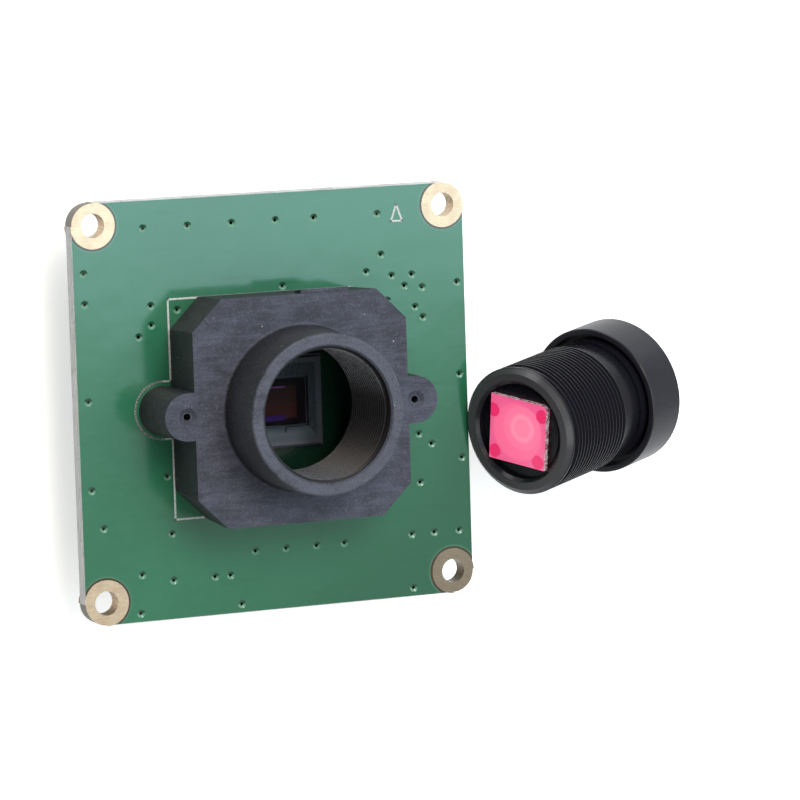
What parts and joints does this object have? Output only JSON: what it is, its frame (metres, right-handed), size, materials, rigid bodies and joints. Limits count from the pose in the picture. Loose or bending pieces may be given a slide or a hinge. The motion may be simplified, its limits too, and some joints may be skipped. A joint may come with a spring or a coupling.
{
  "type": "camera module",
  "caption": "Square board camera module with a moulded M12 lens holder over its image sensor and the unscrewed lens leaning on the board's edge",
  "frame": {"origin": "centre of the mounting hole pattern, on the board's rear face", "axes": "+Z is the optical axis and points out of the lens holder, +X and +Y run along the board's edges with the cable connector at the -Y edge"},
  "size_m": [0.0583, 0.0382, 0.0212],
  "materials": {
    "solder_mask": "glossy green solder mask over glass-fibre laminate, pale broken edges",
    "gold_plating": "thin bright gold plating on copper",
    "sensor_ceramic": "dull blue-grey ceramic",
    "sensor_silicon": "smooth dark reddish silicon with a faint colour sheen",
    "cover_glass": "clear flat glass",
    "holder_plastic": "matte glass-filled black plastic",
    "screw_steel": "plated steel",
    "chip_plastic": "matte black moulding compound",
    "tinned_leads": "soft tin plating",
    "drawn_steel": "drawn nickel-plated steel",
    "base_plastic": "black moulded plastic",
    "ferrite": "dark grey sintered ferrite",
    "copper_wire": "enamelled copper wire",
    "can_aluminium": "satin drawn aluminium",
    "tantalum_resin": "matte yellow-orange moulded resin",
    "capacitor_ceramic": "brown sintered ceramic",
    "resistor_coat": "black glazed coat",
    "connector_nylon": "natural ivory nylon",
    "black_anodised": "black anodised, fine turned",
    "lens_glass": "coated optical glass",
    "filter_glass": "pink coated filter glass with ground edges",
    "white_ink": "thin matte white printing on the board",
    "solder": "smooth solder fillets",
    "filter_glue": "soft cured adhesive"
  },
  "bodies": {
    "root": {"pcb": "solder_mask", "mounting_hole_plating": "gold_plating", "sensor_package": "sensor_ceramic", "sensor_die": "sensor_silicon", "sensor_cover_glass": "cover_glass", "lens_holder": "holder_plastic", "holder_screws": "screw_steel", "processor_body": "chip_plastic", "processor_leads": "tinned_leads", "memory_body": "chip_plastic", "memory_leads": "tinned_leads", "regulator_bodies": "chip_plastic", "regulator_leads": "tinned_leads", "crystal_can": "drawn_steel", "crystal_base": "base_plastic", "inductor_core": "ferrite", "inductor_winding": "copper_wire", "electrolytic_cans": "can_aluminium", "electrolytic_bases": "base_plastic", "electrolytic_feet": "tinned_leads", "tantalum_bodies": "tantalum_resin", "tantalum_ends": "tinned_leads", "chip_capacitors": "capacitor_ceramic", "chip_capacitor_ends": "tinned_leads", "chip_resistors": "resistor_coat", "chip_resistor_ends": "tinned_leads", "connector_housing": "connector_nylon", "connector_pins": "gold_plating", "connector_tabs": "tinned_leads", "lens_barrel": "black_anodised", "rear_element": "lens_glass", "rear_spacer": "black_anodised", "aperture_stop": "black_anodised", "middle_element": "lens_glass", "front_spacer": "black_anodised", "front_element": "lens_glass", "front_ring": "black_anodised", "ir_filter": "filter_glass", "filter_glue": "filter_glue"}
  },
  "joints": []
}
